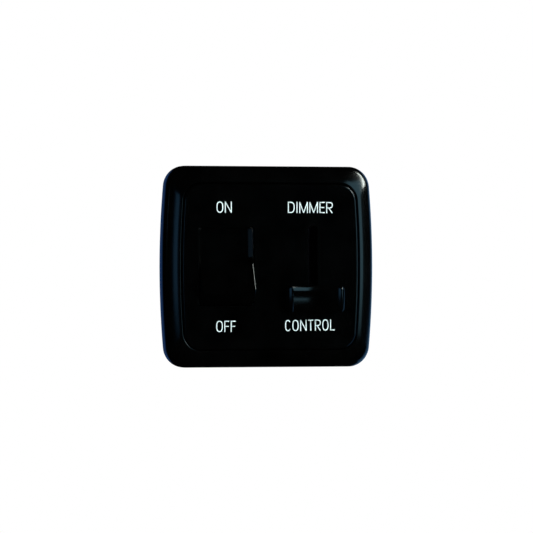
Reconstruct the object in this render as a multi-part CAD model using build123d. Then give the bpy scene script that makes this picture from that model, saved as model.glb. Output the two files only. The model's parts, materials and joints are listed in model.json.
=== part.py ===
from build123d import *
from math import cos, radians, sin, sqrt, tan
import os

# Wall plate with an ON and OFF rocker at the left and a slide dimmer at the right.
# Millimetres. X runs right as seen from the room, Z runs up and Y runs into the wall, whose surface is Y = 0.
# A level is counted from the wall surface towards the room, so it is minus Y.

# Trim bezel, snapped over the housing's flange
bezel_width = 79.4
bezel_height = 73.0
bezel_corner = 7.8
side_bow = 340.0
bezel_wall = 1.8
shoulder_level = 4.6
shoulder_round = 3.2
crown_rise = 0.35
crown_round = 10.0
border_width = 6.15
lip_level = 7.5
lip_thickness = 1.9
lip_round = 0.3
snap_length = 9.0
snap_spread = 20.0
snap_reach = 0.7
snap_height = 0.8
snap_base = 0.25
snap_play = 0.3

# Front housing: face plate, skirt and wall flange
seam = 0.4
plate_corner = 6.5
plate_level = 7.8
plate_thickness = 2.0
plate_round = 0.35
housing_wall = 1.8
flange_thickness = 2.4
flange_clearance = 0.3
wall_screw_inset_x = 6.7
wall_screw_inset_z = 5.8
wall_screw_hole = 3.2

# Rear cover and the screws that clamp it and the circuit board to the housing
cover_inset = 2.15
cover_wall = 1.8
cover_back = 2.0
cover_corner = 3.0
cover_pocket = 0.8
cover_clearance = 0.2
boss_inset = 3.4
boss_gap = 0.5
boss_radius = 3.0
post_radius = 3.9
screw_diameter = 2.5
screw_grip = 9.0
screw_head_diameter = 5.0
screw_head_height = 2.0
screw_clearance = 0.05
head_clearance = 0.3
drive_length = 3.5
drive_width = 0.8
drive_depth = 1.0

# Rocker and its switch
control_margin = 6.55
pivot_depth = 9.2
rocker_width = 20.2
rocker_tilt = 15.0
rocker_dish = 10.0
rocker_valley = 8.5
rocker_radius = 15.7
rocker_skirt = 2.5
rocker_wall = 1.6
rocker_round = 0.8
window_gap = 0.35
window_corner = 0.8
trunnion_diameter = 3.0
trunnion_reach = 1.5
trunnion_clearance = 0.05
trunnion_lobe = 3.0
stem_diameter = 6.4
stem_end = 3.6
plunger_diameter = 3.4
plunger_clearance = 0.05
plunger_length = 5.6
plunger_gap = 0.08
plunger_flat = 0.05
spring_wire = 0.4
spring_length = 5.0
spring_turns = 6
spring_side_gap = 0.15
switch_wall = 1.6
switch_side_gap = 0.5
switch_end_gap = 0.4
switch_floor = 1.6

# Contacts inside the switch
lever_reach = 6.5
lever_width = 5.0
lever_length = 22.0
lever_thickness = 0.8
lever_ratio = 0.4
fulcrum_radius = 0.8
fulcrum_gap = 0.05
contact_arm = 9.5
contact_diameter = 3.0
contact_head = 0.6
contact_shank = 1.6
contact_gap = 0.08
stop_width = 1.6
stop_gap = 0.1
terminal_thickness = 0.8
terminal_leg = 2.4
load_strip_length = 6.2
load_strip_start = 2.1
slot_clearance = 0.1

# Slide dimmer
slider_rest = -11.6
slider_travel = 22.0
knob_width = 21.3
knob_length = 9.5
knob_height = 4.6
knob_gap = 0.3
knob_corner = 1.5
knob_round = 0.7
scoop_depth = 0.9
scoop_rim = 0.9
scoop_end = 1.0
scoop_slope = 0.6
stem_width = 2.8
stem_length = 6.0
stem_depth = 9.6
stem_gap = 0.3
pot_width = 10.0
pot_height = 6.5
pot_sheet = 0.6
pot_end_room = 4.0
element_thickness = 1.2
element_play = 0.1
pot_pin = 0.9
pot_pin_spread = 2.5
pot_pin_inset = 2.5
carriage_length = 6.0
carriage_play = 0.6
carriage_top_gap = 0.3
wiper_room = 1.0
wiper_sheet = 0.2
wiper_width = 4.0
wiper_gap = 0.1
lever_blade = 1.2
lever_blade_length = 3.6
lever_blade_height = 11.0
socket_play = 0.05

# Circuit board and what is soldered to its back
board_thickness = 1.6
board_clearance = 0.4
board_room = 9.2
tail = 1.2
lead_radius = 0.35
lead_bend = 0.8
hole_play = 0.1
seat = 0.1
blade_width = 6.35
blade_thickness = 0.8
blade_reach = 8.0
blade_pitch = 14.0
blade_margin = 4.7
blade_leg = 1.2
blade_leg_spread = 4.0
blade_tip = 1.2
blade_hole = 1.8
sink_width = 20.0
sink_height = 18.0
sink_thickness = 3.0
sink_side_margin = 8.3
sink_top_margin = 4.2
sink_pin = 1.5
sink_pin_spread = 16.0
transistor_width = 10.2
transistor_body = 9.2
transistor_thickness = 4.5
tab_length = 6.5
tab_thickness = 1.3
tab_hole = 3.6
tab_hole_inset = 3.2
transistor_lead = 0.8
transistor_lead_thickness = 0.5
transistor_pitch = 2.54
transistor_lead_run = 3.4
transistor_lead_rise = 2.5
sink_screw_diameter = 3.0
sink_screw_head = 5.5
sink_screw_head_height = 2.0
capacitor_diameter = 8.0
capacitor_length = 10.0
capacitor_drop = 9.5
capacitor_pitch = 3.5
capacitor_round = 0.6
chip_gap = 2.35
chip_drop = 5.0
chip_length = 9.6
chip_width = 6.35
chip_thickness = 3.3
chip_standoff = 0.5
chip_pitch = 2.54
chip_row = 7.62
chip_leg = 0.5
axial_margin = 2.95
axial_pitch = 12.7
resistor_length = 6.3
resistor_diameter = 2.3
resistor_count = 3
resistor_z = 2.0
resistor_step = 3.5
diode_length = 5.2
diode_diameter = 2.7
diode_z = -3.0
film_length = 7.2
film_width = 2.5
film_height = 6.0
film_pitch = 5.08
film_count = 2
film_z = -8.0
film_step = 3.6

# Distance under which two levels count as the same
match = 0.01

# Sizes and levels that follow from the ones above
plate_width = bezel_width - 2 * (border_width + seam)
plate_height = bezel_height - 2 * (border_width + seam)
plate_bow = side_bow - border_width - seam
plate_back = plate_level - plate_thickness
switch_width = rocker_width + 2 * (switch_side_gap + switch_wall)
switch_height = 2 * (rocker_radius + switch_end_gap + switch_wall)
boss_z = switch_height / 2 + boss_gap + boss_radius
cover_width = plate_width - 2 * cover_inset
cover_inner_width = cover_width - 2 * cover_wall
cover_inner_height = 2 * (boss_z + boss_inset)
cover_height = cover_inner_height + 2 * cover_wall
boss_x = cover_inner_width / 2 - boss_inset
board_width = cover_inner_width - 2 * board_clearance
board_height = cover_inner_height - 2 * board_clearance
wall_screw_x = bezel_width / 2 - wall_screw_inset_x
wall_screw_z = bezel_height / 2 - wall_screw_inset_z
rocker_x = -(plate_width / 2 - control_margin - rocker_width / 2)
pivot_level = plate_level - pivot_depth
plunger_tip = -lever_reach + plunger_gap
plunger_tail = plunger_tip + plunger_length
lever_tilt = lever_ratio * rocker_tilt
lever_axis = pivot_level - lever_reach - lever_thickness - fulcrum_gap - fulcrum_radius
contact_drop = (contact_arm + contact_diameter / 2) * sin(radians(lever_tilt))
lever_back_rise = fulcrum_radius + fulcrum_gap
contact_rise = (lever_back_rise - contact_head) * cos(radians(lever_tilt))
contact_face = lever_axis + contact_rise - contact_drop - contact_gap
floor_top = contact_face - contact_head - terminal_thickness
board_front = floor_top - switch_floor
board_back = board_front - board_thickness
tail_level = board_back - tail
cover_floor = board_back - board_room
cover_level = cover_floor - cover_back
load_leg_z = -(contact_arm + load_strip_length - load_strip_start - terminal_thickness / 2)
slider_x = plate_width / 2 - control_margin - knob_width / 2
slider_middle = slider_rest + slider_travel / 2
pot_length = slider_travel + carriage_length + 2 * pot_end_room
pot_front = board_front + pot_height
pot_pin_z = pot_length / 2 - pot_pin_inset
knob_back = plate_level + knob_gap
knob_level = knob_back + knob_height
carriage_base = board_front + element_thickness + wiper_room
carriage_top = pot_front - pot_sheet - carriage_top_gap
lever_blade_top = carriage_top + lever_blade_height
blade_z = -(board_height / 2 - blade_margin)
sink_x = -(board_width / 2 - sink_side_margin - sink_width / 2)
sink_z = board_height / 2 - sink_top_margin - sink_height / 2
tab_z = sink_z + sink_height / 2 - tab_hole_inset
axial_x = board_width / 2 - axial_margin - axial_pitch / 2
chip_x = axial_x - axial_pitch / 2 - chip_gap - chip_length / 2
chip_z = sink_z - sink_height / 2 - chip_drop
capacitor_x = chip_x + chip_length / 2 - capacitor_length / 2
capacitor_z = chip_z - capacitor_drop
sink_level = board_back - sink_thickness


def slab(outline, low, high):
    return extrude(Plane.XZ.offset(low) * outline, amount=high - low)


def across(outline, start, length):
    return extrude(Plane.YZ.offset(start) * outline, amount=length)


def block(x, z, width, height, low, high):
    return slab(Pos(x, z) * Rectangle(width, height), low, high)


def pin(x, z, radius, low, high):
    return slab(Pos(x, z) * Circle(radius), low, high)


def four(x, z):
    return [(-x, -z), (x, -z), (x, z), (-x, z)]


# Outline with straight top and bottom, bowed sides and round corners
def bowed_outline(width, height, bow, corner):
    edge = width / 2 - bow + sqrt(bow**2 - (height / 2) ** 2)
    right = ThreePointArc((edge, -height / 2), (width / 2, 0), (edge, height / 2))
    top = Line((edge, height / 2), (-edge, height / 2))
    left = ThreePointArc((-edge, height / 2), (-width / 2, 0), (-edge, -height / 2))
    bottom = Line((-edge, -height / 2), (edge, -height / 2))
    face = make_face([right, top, left, bottom])
    return fillet(face.vertices(), corner)


def bezel_outline(inset):
    width = bezel_width - 2 * inset
    height = bezel_height - 2 * inset
    return bowed_outline(width, height, side_bow - inset, bezel_corner - inset)


def plate_outline(grow):
    width = plate_width + 2 * grow
    height = plate_height + 2 * grow
    return bowed_outline(width, height, plate_bow + grow, plate_corner + grow)


# Halfway across the border, between the bezel's edge and its lip
def crown_outline():
    inset = border_width / 2
    corner = (bezel_corner + plate_corner + seam) / 2
    return bowed_outline(bezel_width - 2 * inset, bezel_height - 2 * inset, side_bow - inset, corner)


def between(low_outline, low, high_outline, high):
    return loft([Plane.XZ.offset(low) * low_outline, Plane.XZ.offset(high) * high_outline], ruled=True)


def edges_at(part, level):
    return [e for e in part.edges() if all(abs(-v.Y - level) < match for v in e.vertices())]


# Places of the six snaps: inward distance is measured from the bezel's edge
def snap_block(start, reach, length, low, high):
    depth = reach - start
    middle = (start + reach) / 2
    solid = Part()
    for x in (-snap_spread, snap_spread):
        for side in (-1, 1):
            solid += block(x, side * (bezel_height / 2 - middle), length, depth, low, high)
    for side in (-1, 1):
        solid += block(side * (bezel_width / 2 - middle), 0, depth, length, low, high)
    return solid


def make_trim_bezel():
    crown_level = (shoulder_level + lip_level) / 2 + crown_rise
    lip = plate_outline(seam)
    body = slab(bezel_outline(0), 0, shoulder_level)
    body += between(bezel_outline(0), shoulder_level, crown_outline(), crown_level)
    body += between(crown_outline(), crown_level, lip, lip_level)
    body = fillet(edges_at(body, crown_level), crown_round)
    body = fillet(edges_at(body, shoulder_level), shoulder_round)
    inner_shoulder = shoulder_level - bezel_wall / 2
    body -= slab(bezel_outline(bezel_wall), 0, inner_shoulder)
    body -= between(bezel_outline(bezel_wall), inner_shoulder, lip, lip_level - lip_thickness)
    body -= slab(lip, 0, lip_level)
    body = fillet(edges_at(body, lip_level), lip_round)
    snap_top = snap_base + snap_height
    return body + snap_block(bezel_wall / 2, bezel_wall + snap_reach, snap_length, snap_base, snap_top)


def make_front_housing():
    plate = slab(plate_outline(0), plate_back, plate_level)
    plate = fillet(edges_at(plate, plate_level), plate_round)
    body = plate + slab(plate_outline(0) - plate_outline(-housing_wall), 0, plate_back)
    flange = bezel_outline(bezel_wall + flange_clearance) - plate_outline(-housing_wall)
    body += slab(flange, 0, flange_thickness)
    notch_reach = bezel_wall + snap_reach + snap_play
    body -= snap_block(0, notch_reach, snap_length + 2 * snap_play, 0, snap_base + snap_height + snap_play)
    # Inner wall that carries the rear cover
    seat_wall = Rectangle(plate_width - 2 * housing_wall, cover_height)
    seat_wall -= Rectangle(cover_inner_width, cover_inner_height)
    body += slab(seat_wall & plate_outline(-housing_wall / 2), 0, plate_back)
    pocket = Rectangle(cover_width + 2 * cover_clearance, cover_height + 2 * cover_clearance)
    body -= slab(pocket - Rectangle(cover_inner_width, cover_inner_height), 0, cover_pocket)
    for x, z in four(boss_x, boss_z):
        body += pin(x, z, boss_radius, board_front, plate_back)
        body -= pin(x, z, screw_diameter / 2 + screw_clearance, board_front, board_front + screw_grip)
    for x, z in four(wall_screw_x, wall_screw_z):
        body -= pin(x, z, wall_screw_hole / 2, 0, flange_thickness)
    # Window for the rocker and slot for the knob's stem
    back_reach = sqrt(rocker_radius**2 - (pivot_depth - plate_thickness) ** 2)
    window = RectangleRounded(rocker_width + 2 * window_gap, 2 * (back_reach + window_gap), window_corner)
    body -= slab(Pos(rocker_x, 0) * window, plate_back, plate_level)
    slot = SlotOverall(slider_travel + stem_length + 2 * stem_gap + stem_width, stem_width + 2 * stem_gap, 90)
    return body - slab(Pos(slider_x, slider_middle) * slot, plate_back, plate_level)


def make_rear_cover():
    outer = RectangleRounded(cover_width, cover_height, cover_corner)
    inner = Rectangle(cover_inner_width, cover_inner_height)
    body = slab(outer, cover_level, cover_pocket) - slab(inner, cover_floor, cover_pocket)
    for x, z in four(boss_x, boss_z):
        body += slab((Pos(x, z) * Circle(post_radius)) & inner, cover_floor, board_back)
    for x, z in four(boss_x, boss_z):
        body -= pin(x, z, screw_diameter / 2 + hole_play, cover_level, board_back)
        recess = screw_head_diameter / 2 + head_clearance
        body -= pin(x, z, recess, cover_level, cover_level + screw_head_height)
    for x in (-blade_pitch, 0, blade_pitch):
        slot_width = blade_width + 2 * head_clearance
        body -= block(x, blade_z, slot_width, blade_thickness + 2 * head_clearance, cover_level, cover_floor)
    return body


def make_cover_screws():
    screws = []
    head_top = cover_level
    head_seat = head_top + screw_head_height
    for x, z in four(boss_x, boss_z):
        screw = pin(x, z, screw_head_diameter / 2, head_top, head_seat)
        screw += pin(x, z, screw_diameter / 2, head_seat, board_front + screw_grip - screw_diameter / 2)
        screw -= block(x, z, drive_width, drive_length, head_top, head_top + drive_depth)
        screw -= block(x, z, drive_length, drive_width, head_top, head_top + drive_depth)
        screws.append(screw)
    return Compound(children=screws)


# Side view of the rocker about its pivot: a shallow V in front and ends that are arcs about the pivot
def rocker_section(valley, radius, skirt):
    slope = tan(radians(rocker_dish))
    reach = (sqrt(radius**2 * (1 + slope**2) - valley**2) - valley * slope) / (1 + slope**2)
    tip = valley + reach * slope
    foot = sqrt(radius**2 - skirt**2)
    middle = (tip + skirt) / 2
    bulge = sqrt(radius**2 - middle**2)
    upper = ThreePointArc((-tip, reach), (-middle, bulge), (-skirt, foot))
    base = Line((-skirt, foot), (-skirt, -foot))
    lower = ThreePointArc((-skirt, -foot), (-middle, -bulge), (-tip, -reach))
    front_low = Line((-tip, -reach), (-valley, 0))
    front_high = Line((-valley, 0), (-tip, reach))
    return make_face([upper, base, lower, front_low, front_high])


# Rocker upright about its pivot at the origin, before it is tilted and placed
def make_upright_rocker():
    half = rocker_width / 2
    body = across(rocker_section(rocker_valley, rocker_radius, rocker_skirt), -half, rocker_width)
    front = [e for e in body.edges() if -e.center().Y > rocker_skirt + match]
    valley = [e for e in front if abs(e.center().Z) < match]
    body = fillet([e for e in front if e not in valley], rocker_round)
    inner = rocker_section(rocker_valley - rocker_wall, rocker_radius - rocker_wall, rocker_skirt)
    body -= across(inner, -half + rocker_wall, rocker_width - 2 * rocker_wall)
    for side in (-half, half - rocker_wall):
        lobe = Circle(trunnion_lobe)
        lobe += Pos(-rocker_skirt / 2, 0) * Rectangle(rocker_skirt, 2 * trunnion_lobe)
        body += across(lobe, side, rocker_wall)
    for side in (-half - trunnion_reach, half):
        body += across(Circle(trunnion_diameter / 2), side, trunnion_reach)
    body += pin(0, 0, stem_diameter / 2, -stem_end, rocker_valley - rocker_wall / 2)
    bore_end = plunger_tail + spring_length
    return body - pin(0, 0, plunger_diameter / 2 + plunger_clearance, -stem_end, bore_end)


def make_upright_plunger():
    body = pin(0, 0, plunger_diameter / 2, plunger_tip, plunger_tail)
    return fillet(edges_at(body, plunger_tip), plunger_diameter / 2 - plunger_flat)


def make_upright_spring():
    radius = plunger_diameter / 2 - spring_wire / 2 - spring_side_gap
    height = spring_length - spring_wire
    path = Helix(height / spring_turns, height, radius)
    wire = sweep(Plane(path @ 0, z_dir=path % 0) * Circle(spring_wire / 2), path)
    return Pos(0, -plunger_tail - spring_wire / 2, 0) * Rot(90, 0, 0) * wire


def tilt_with_rocker(part):
    return Pos(rocker_x, -pivot_level, 0) * Rot(-rocker_tilt, 0, 0) * part


def tilt_with_lever(part):
    return Pos(rocker_x, -lever_axis, 0) * Rot(lever_tilt, 0, 0) * part


def make_switch_body():
    body = block(rocker_x, 0, switch_width, switch_height, board_front, plate_back)
    inner_width = switch_width - 2 * switch_wall
    body -= block(rocker_x, 0, inner_width, switch_height - 2 * switch_wall, floor_top, plate_back)
    bore = Pos(-pivot_level, 0) * Circle(trunnion_diameter / 2 + trunnion_clearance)
    body -= across(bore, rocker_x - switch_width / 2, switch_width)
    stop_z = contact_arm
    stop_drop = (stop_z + stop_width / 2) * sin(radians(lever_tilt))
    stop_top = lever_axis + lever_back_rise * cos(radians(lever_tilt)) - stop_drop - stop_gap
    body += block(rocker_x, stop_z, lever_width, stop_width, floor_top, stop_top)
    for z in (0, load_leg_z):
        leg = terminal_leg + 2 * slot_clearance
        body -= block(rocker_x, z, leg, terminal_thickness + 2 * slot_clearance, board_front, floor_top)
    return body


def make_upright_lever():
    body = block(0, 0, lever_width, lever_length, lever_back_rise, lever_back_rise + lever_thickness)
    return body - pin(0, -contact_arm, contact_shank / 2, lever_back_rise, lever_back_rise + lever_thickness)


def make_upright_contact():
    head = pin(0, -contact_arm, contact_diameter / 2, lever_back_rise - contact_head, lever_back_rise)
    return head + pin(0, -contact_arm, contact_shank / 2, lever_back_rise, lever_back_rise + lever_thickness)


def make_common_terminal():
    body = block(rocker_x, 0, lever_width, 2 * fulcrum_radius, floor_top, lever_axis)
    body += across(Pos(-lever_axis, 0) * Circle(fulcrum_radius), rocker_x - lever_width / 2, lever_width)
    return body + block(rocker_x, 0, terminal_leg, terminal_thickness, tail_level, floor_top)


def make_load_terminal():
    strip_z = -contact_arm - load_strip_length / 2 + load_strip_start
    top = floor_top + terminal_thickness
    body = block(rocker_x, strip_z, lever_width, load_strip_length, floor_top, top)
    body -= pin(rocker_x, -contact_arm, contact_shank / 2, floor_top, top)
    return body + block(rocker_x, load_leg_z, terminal_leg, terminal_thickness, tail_level, floor_top)


def make_fixed_contact():
    top = floor_top + terminal_thickness
    body = pin(rocker_x, -contact_arm, contact_shank / 2, floor_top, top)
    return body + pin(rocker_x, -contact_arm, contact_diameter / 2, top, top + contact_head)


def make_slider_knob():
    z = slider_rest
    outline = RectangleRounded(knob_width, knob_length, knob_corner)
    body = slab(Pos(slider_x, z) * outline, knob_back, knob_level)
    chord = knob_length / 2 - scoop_rim
    scoop_radius = (chord**2 + scoop_depth**2) / (2 * scoop_depth)
    body = fillet(edges_at(body, knob_level), knob_round)
    hollow = Pos(-knob_level - scoop_radius + scoop_depth, z) * Circle(scoop_radius)
    mouth = knob_width - 2 * scoop_end
    wide = Pos(slider_x, z) * Rectangle(mouth, knob_length)
    narrow = Pos(slider_x, z) * Rectangle(mouth - 2 * scoop_slope, knob_length)
    ends = between(narrow, knob_level - scoop_depth, wide, knob_level)
    body -= across(hollow, slider_x - knob_width / 2, knob_width) & ends
    stem_bottom = knob_back - stem_depth
    body += block(slider_x, z, stem_width, stem_length, stem_bottom, knob_back)
    socket_width = lever_blade + 2 * socket_play
    socket_length = lever_blade_length + 2 * socket_play
    socket_top = lever_blade_top + socket_play
    return body - block(slider_x, z, socket_width, socket_length, stem_bottom, socket_top)


def make_pot_case():
    body = block(slider_x, slider_middle, pot_width, pot_length, board_front, pot_front)
    inner_width = pot_width - 2 * pot_sheet
    inner_length = pot_length - 2 * pot_sheet
    body -= block(slider_x, slider_middle, inner_width, inner_length, board_front, pot_front - pot_sheet)
    slot_width = lever_blade + 2 * stem_gap
    slot_length = slider_travel + lever_blade_length + 2 * stem_gap
    return body - block(slider_x, slider_middle, slot_width, slot_length, pot_front - pot_sheet, pot_front)


def make_element_board():
    width = pot_width - 2 * pot_sheet - 2 * element_play
    length = pot_length - 2 * pot_sheet - 2 * element_play
    return block(slider_x, slider_middle, width, length, board_front, board_front + element_thickness)


def pot_pin_places():
    low = slider_middle - pot_pin_z
    high = slider_middle + pot_pin_z
    return [(slider_x - pot_pin_spread, low), (slider_x + pot_pin_spread, low), (slider_x, high)]


def make_pot_terminals():
    return Compound(children=[pin(x, z, pot_pin / 2, tail_level, board_front) for x, z in pot_pin_places()])


def make_slide_carriage():
    width = pot_width - 2 * pot_sheet - 2 * carriage_play
    body = block(slider_x, slider_rest, width, carriage_length, carriage_base, carriage_top)
    return body + block(slider_x, slider_rest, lever_blade, lever_blade_length, carriage_top, lever_blade_top)


# Spring strip under the carriage, bent down to run on the element
def make_wiper_spring():
    half = carriage_length / 2 - wiper_sheet
    base = carriage_base - wiper_sheet / 2
    foot = board_front + element_thickness + wiper_gap + wiper_sheet / 2
    bend = slider_rest + half
    knee = bend - half / 2
    tip = -foot - wiper_sheet
    path = Polyline((-base, slider_rest - half), (-base, bend), (-foot, knee), (tip, slider_rest))
    strip = trace(path, line_width=wiper_sheet)
    body = across(strip, slider_x - wiper_width / 2, wiper_width)
    above = block(slider_x, slider_rest, pot_width, carriage_length, carriage_base, carriage_top)
    return body - above


# Bent wire that follows points of (x, level, z)
def bent_wire(points, radius):
    path = FilletPolyline(*[(x, -level, z) for x, level, z in points], radius=lead_bend)
    return sweep(Plane(path @ 0, z_dir=path % 0) * Circle(radius), path)


# Component lying along X on the board's back, on one wire bent down at both ends
def axial_part(x, z, length, diameter):
    level = board_back - seat - diameter / 2
    left = x - axial_pitch / 2
    right = x + axial_pitch / 2
    ends = board_front - seat
    wire = bent_wire([(left, ends, z), (left, level, z), (right, level, z), (right, ends, z)], lead_radius)
    return wire + across(Pos(-level, z) * Circle(diameter / 2), x - length / 2, length)


def resistor_places():
    return [resistor_z + resistor_step * i for i in range(resistor_count)]


def make_resistors():
    resistors = [axial_part(axial_x, z, resistor_length, resistor_diameter) for z in resistor_places()]
    return Compound(children=resistors)


def make_flyback_diode():
    return axial_part(axial_x, diode_z, diode_length, diode_diameter)


def film_places():
    return [film_z - film_step * i for i in range(film_count)]


def make_timing_capacitors():
    caps = []
    for z in film_places():
        cap = block(axial_x, z, film_length, film_width, board_back - seat - film_height, board_back - seat)
        for side in (-film_pitch / 2, film_pitch / 2):
            cap += pin(axial_x + side, z, lead_radius, board_back - seat, board_front - seat)
        caps.append(cap)
    return Compound(children=caps)


def make_filter_capacitor():
    level = board_back - seat - capacitor_diameter / 2
    start = capacitor_x - capacitor_length / 2
    can = across(Pos(-level, capacitor_z) * Circle(capacitor_diameter / 2), start, capacitor_length)
    can = fillet(can.edges().filter_by(GeomType.CIRCLE), capacitor_round)
    for x, z in capacitor_leads():
        wire = [(x, board_front - seat, z), (x, level, z), (start + capacitor_round, level, z)]
        can += bent_wire(wire, lead_radius)
    return can


def capacitor_leads():
    x = capacitor_x - capacitor_length / 2 - 2 * lead_bend
    return [(x, capacitor_z - capacitor_pitch / 2), (x, capacitor_z + capacitor_pitch / 2)]


def chip_legs():
    columns = [chip_x + chip_pitch * step for step in (-1.5, -0.5, 0.5, 1.5)]
    return [(x, chip_z + side * chip_row / 2) for x in columns for side in (-1, 1)]


def make_control_chip():
    top = board_back - chip_standoff
    body = block(chip_x, chip_z, chip_length, chip_width, top - chip_thickness, top)
    knee = top - chip_thickness / 2
    for x, z in chip_legs():
        body += block(x, z, chip_leg, chip_leg, knee, board_front - seat)
        body += block(x, (z + chip_z) / 2, chip_leg, chip_row / 2 + chip_leg, knee - chip_leg, knee)
    return body


def sink_pins():
    return [(sink_x + side * sink_pin_spread / 2, sink_z) for side in (-1, 1)]


def make_heat_sink():
    body = block(sink_x, sink_z, sink_width, sink_height, sink_level, board_back)
    body -= pin(sink_x, tab_z, sink_screw_diameter / 2 + screw_clearance, sink_level, board_back)
    for x, z in sink_pins():
        body += pin(x, z, sink_pin / 2, board_back, board_front - seat)
    return body


def transistor_leads():
    z = tab_z + tab_hole_inset - tab_length - transistor_body - transistor_lead_run
    return [(sink_x + transistor_pitch * i, z) for i in (-1, 0, 1)]


def make_power_transistor():
    tab_middle = tab_z + tab_hole_inset - tab_length / 2
    body_middle = tab_middle - tab_length / 2 - transistor_body / 2
    body = block(sink_x, tab_middle, transistor_width, tab_length, sink_level - tab_thickness, sink_level)
    body -= pin(sink_x, tab_z, tab_hole / 2, sink_level - tab_thickness, sink_level)
    rear = sink_level - transistor_thickness
    body += block(sink_x, body_middle, transistor_width, transistor_body, rear, sink_level)
    knee = sink_level - transistor_lead_rise
    start = body_middle - transistor_body / 2
    for x, z in transistor_leads():
        run = start - z + transistor_lead_thickness / 2
        body += block(x, start - run / 2, transistor_lead, run, knee - transistor_lead_thickness, knee)
        body += block(x, z, transistor_lead, transistor_lead_thickness, knee, board_front - seat)
    return body


def make_heat_sink_screw():
    seat_level = sink_level - tab_thickness
    top = seat_level - sink_screw_head_height
    screw = pin(sink_x, tab_z, sink_screw_head / 2, top, seat_level)
    screw += pin(sink_x, tab_z, sink_screw_diameter / 2, seat_level, board_back - seat)
    return screw - block(sink_x, tab_z, drive_width, sink_screw_head, top, top + drive_depth)


def blade_legs(x):
    return [(x + side * blade_leg_spread / 2, blade_z) for side in (-1, 1)]


def make_blade(x):
    end = cover_level - blade_reach
    body = block(x, blade_z, blade_width, blade_thickness, end, board_back)
    corners = [e for e in edges_at(body, end) if e.length < blade_width / 2]
    body = chamfer(corners, blade_tip)
    hole = Pos(x, -end - blade_reach / 2) * Circle(blade_hole / 2)
    for leg_x, leg_z in blade_legs(x):
        body += block(leg_x, leg_z, blade_leg, blade_thickness, board_back, board_front - seat)
    return body - extrude(Plane.XY.offset(blade_z - blade_thickness) * hole, 2 * blade_thickness)


def make_circuit_board():
    body = block(0, 0, board_width, board_height, board_back, board_front)
    holes = [(x, z, screw_diameter / 2) for x, z in four(boss_x, boss_z)]
    holes += [(x, z, pot_pin / 2) for x, z in pot_pin_places()]
    holes += [(x, z, sink_pin / 2) for x, z in sink_pins()]
    holes += [(x, z, lead_radius) for x, z in capacitor_leads()]
    for side in (-1, 1):
        axial_lead = axial_x + side * axial_pitch / 2
        holes += [(axial_lead, z, lead_radius) for z in resistor_places() + [diode_z]]
        holes += [(axial_x + side * film_pitch / 2, z, lead_radius) for z in film_places()]
    for x, z, radius in holes:
        body -= pin(x, z, radius + hole_play, board_back, board_front)
    slots = [(rocker_x, z, terminal_leg, terminal_thickness) for z in (0, load_leg_z)]
    slots += [(x, z, chip_leg, chip_leg) for x, z in chip_legs()]
    slots += [(x, z, transistor_lead, transistor_lead_thickness) for x, z in transistor_leads()]
    for blade_x in (-blade_pitch, 0, blade_pitch):
        slots += [(x, z, blade_leg, blade_thickness) for x, z in blade_legs(blade_x)]
    for x, z, slot_width, slot_height in slots:
        body -= block(x, z, slot_width + 2 * hole_play, slot_height + 2 * hole_play, board_back, board_front)
    return body


nodes = {
    "trim_bezel": make_trim_bezel(),
    "front_housing": make_front_housing(),
    "rear_cover": make_rear_cover(),
    "cover_screws": make_cover_screws(),
    "rocker_cap": tilt_with_rocker(make_upright_rocker()),
    "plunger": tilt_with_rocker(make_upright_plunger()),
    "plunger_spring": tilt_with_rocker(make_upright_spring()),
    "switch_body": make_switch_body(),
    "contact_lever": tilt_with_lever(make_upright_lever()),
    "moving_contact": tilt_with_lever(make_upright_contact()),
    "common_terminal": make_common_terminal(),
    "load_terminal": make_load_terminal(),
    "fixed_contact": make_fixed_contact(),
    "slider_knob": make_slider_knob(),
    "pot_case": make_pot_case(),
    "element_board": make_element_board(),
    "pot_terminals": make_pot_terminals(),
    "slide_carriage": make_slide_carriage(),
    "wiper_spring": make_wiper_spring(),
    "circuit_board": make_circuit_board(),
    "resistors": make_resistors(),
    "flyback_diode": make_flyback_diode(),
    "timing_capacitors": make_timing_capacitors(),
    "filter_capacitor": make_filter_capacitor(),
    "control_chip": make_control_chip(),
    "heat_sink": make_heat_sink(),
    "heat_sink_screw": make_heat_sink_screw(),
    "power_transistor": make_power_transistor(),
    "supply_blade": make_blade(-blade_pitch),
    "ground_blade": make_blade(0),
    "lamp_blade": make_blade(blade_pitch),
}

os.makedirs("parts", exist_ok=True)
for name, part in nodes.items():
    export_step(part, f"parts/{name}.step")
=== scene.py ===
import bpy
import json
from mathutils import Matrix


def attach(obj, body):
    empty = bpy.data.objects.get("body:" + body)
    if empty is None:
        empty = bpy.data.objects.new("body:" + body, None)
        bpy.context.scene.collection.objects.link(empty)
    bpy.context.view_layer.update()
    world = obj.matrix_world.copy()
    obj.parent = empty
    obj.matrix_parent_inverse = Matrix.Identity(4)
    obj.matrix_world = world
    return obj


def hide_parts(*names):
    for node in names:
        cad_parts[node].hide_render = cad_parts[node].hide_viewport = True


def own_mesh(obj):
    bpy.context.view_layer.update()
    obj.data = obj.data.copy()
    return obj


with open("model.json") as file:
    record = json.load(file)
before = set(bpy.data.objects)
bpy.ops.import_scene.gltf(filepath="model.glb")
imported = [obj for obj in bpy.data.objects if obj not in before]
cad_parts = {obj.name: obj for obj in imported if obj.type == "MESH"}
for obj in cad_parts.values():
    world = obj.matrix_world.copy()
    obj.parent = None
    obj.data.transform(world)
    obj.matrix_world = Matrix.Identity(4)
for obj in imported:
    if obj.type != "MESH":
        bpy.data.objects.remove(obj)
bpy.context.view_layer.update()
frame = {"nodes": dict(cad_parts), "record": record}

import json
from math import atan2, cos, pi, radians, sin, sqrt, tan

import bmesh
import bpy
from mathutils import Vector

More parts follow.
